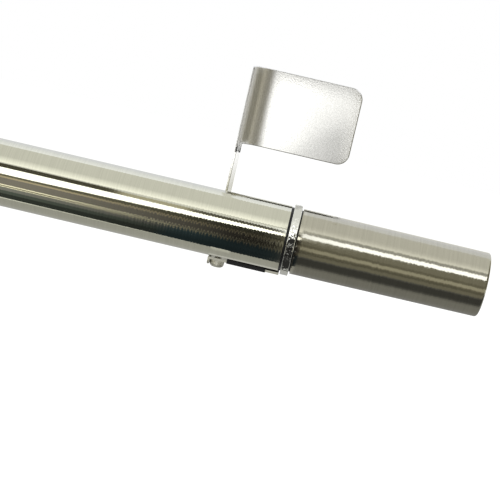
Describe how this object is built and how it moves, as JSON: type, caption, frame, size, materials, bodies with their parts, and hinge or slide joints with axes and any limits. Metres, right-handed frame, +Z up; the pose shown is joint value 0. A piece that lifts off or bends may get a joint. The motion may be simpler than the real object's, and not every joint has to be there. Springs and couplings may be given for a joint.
{
  "type": "curtain rod with brackets",
  "caption": "Telescoping curtain rod in brushed nickel with cylindrical end caps, chrome collars and stick-on sheet-metal wall brackets that cradle it from behind and below.",
  "frame": {"origin": "middle of the right-hand adhesive pad's face, on the wall", "axes": "+X along the rod to the right-hand end cap, +Y into the wall, +Z up"},
  "size_m": [0.5603, 0.0706, 0.0773],
  "materials": {
    "tube": "polished nickel with fine brush lines round the tube",
    "cap": "satin brushed nickel",
    "collar": "polished chrome",
    "bracket": "satin nickel-plated sheet",
    "rubber": "black rubber",
    "nylon": "black nylon",
    "foam": "white acrylic foam tape",
    "screw": "nickel-plated steel screw, washer and nut"
  },
  "bodies": {
    "right_bracket": {"right_bracket_plate": "bracket", "right_saddle_liner": "rubber", "right_adhesive_pad": "foam"},
    "outer_rod": {"outer_tube": "tube", "mouth_ferrule": "nylon", "right_press_nut": "screw"},
    "inner_rod": {"inner_tube": "tube", "tail_glide": "nylon", "left_press_nut": "screw"},
    "left_bracket": {"left_bracket_plate": "bracket", "left_saddle_liner": "rubber", "left_adhesive_pad": "foam"},
    "right_cap": {"right_end_cap": "cap", "right_collar": "collar", "right_cap_plug": "nylon"},
    "left_cap": {"left_end_cap": "cap", "left_collar": "collar", "left_cap_plug": "nylon"},
    "right_washer": {"right_saddle_washer": "screw"},
    "right_screw": {"right_clamp_screw": "screw"},
    "left_washer": {"left_saddle_washer": "screw"},
    "left_screw": {"left_clamp_screw": "screw"}
  },
  "joints": [
    {"name": "rod_lift", "type": "slide", "parent": "right_bracket", "child": "outer_rod", "axis": [0, 0, 1], "range_m": [0, 0.05]},
    {"name": "telescope", "type": "slide", "parent": "outer_rod", "child": "inner_rod", "axis": [-1, 0, 0], "range_m": [0, 0.254]},
    {"name": "left_bracket_drop", "type": "slide", "parent": "inner_rod", "child": "left_bracket", "axis": [0, 0, -1], "range_m": [0, 0.05]},
    {"name": "right_cap_pull", "type": "slide", "parent": "outer_rod", "child": "right_cap", "axis": [1, 0, 0], "range_m": [0, 0.03]},
    {"name": "left_cap_pull", "type": "slide", "parent": "inner_rod", "child": "left_cap", "axis": [-1, 0, 0], "range_m": [0, 0.03]},
    {"name": "right_screw_travel", "type": "slide", "parent": "right_bracket", "child": "right_washer", "axis": [0, 0, -1], "range_m": [0, 0.00315]},
    {"name": "right_screw_turn", "type": "hinge", "parent": "right_washer", "child": "right_screw", "pos_m": [-0.0231, -0.057, -0.06], "axis": [0, 0, -1], "range_deg": [0, 2520]},
    {"name": "left_screw_travel", "type": "slide", "parent": "left_bracket", "child": "left_washer", "axis": [0, 0, -1], "range_m": [0, 0.00315]},
    {"name": "left_screw_turn", "type": "hinge", "parent": "left_washer", "child": "left_screw", "pos_m": [-0.383, -0.057, -0.06], "axis": [0, 0, -1], "range_deg": [0, 2520]}
  ],
  "couplings": [
    {"joint": "left_bracket_drop", "follows": "rod_lift", "ratio": 1},
    {"joint": "right_screw_turn", "follows": "right_screw_travel", "rad_per_m": 13963},
    {"joint": "left_screw_turn", "follows": "left_screw_travel", "rad_per_m": 13963}
  ]
}
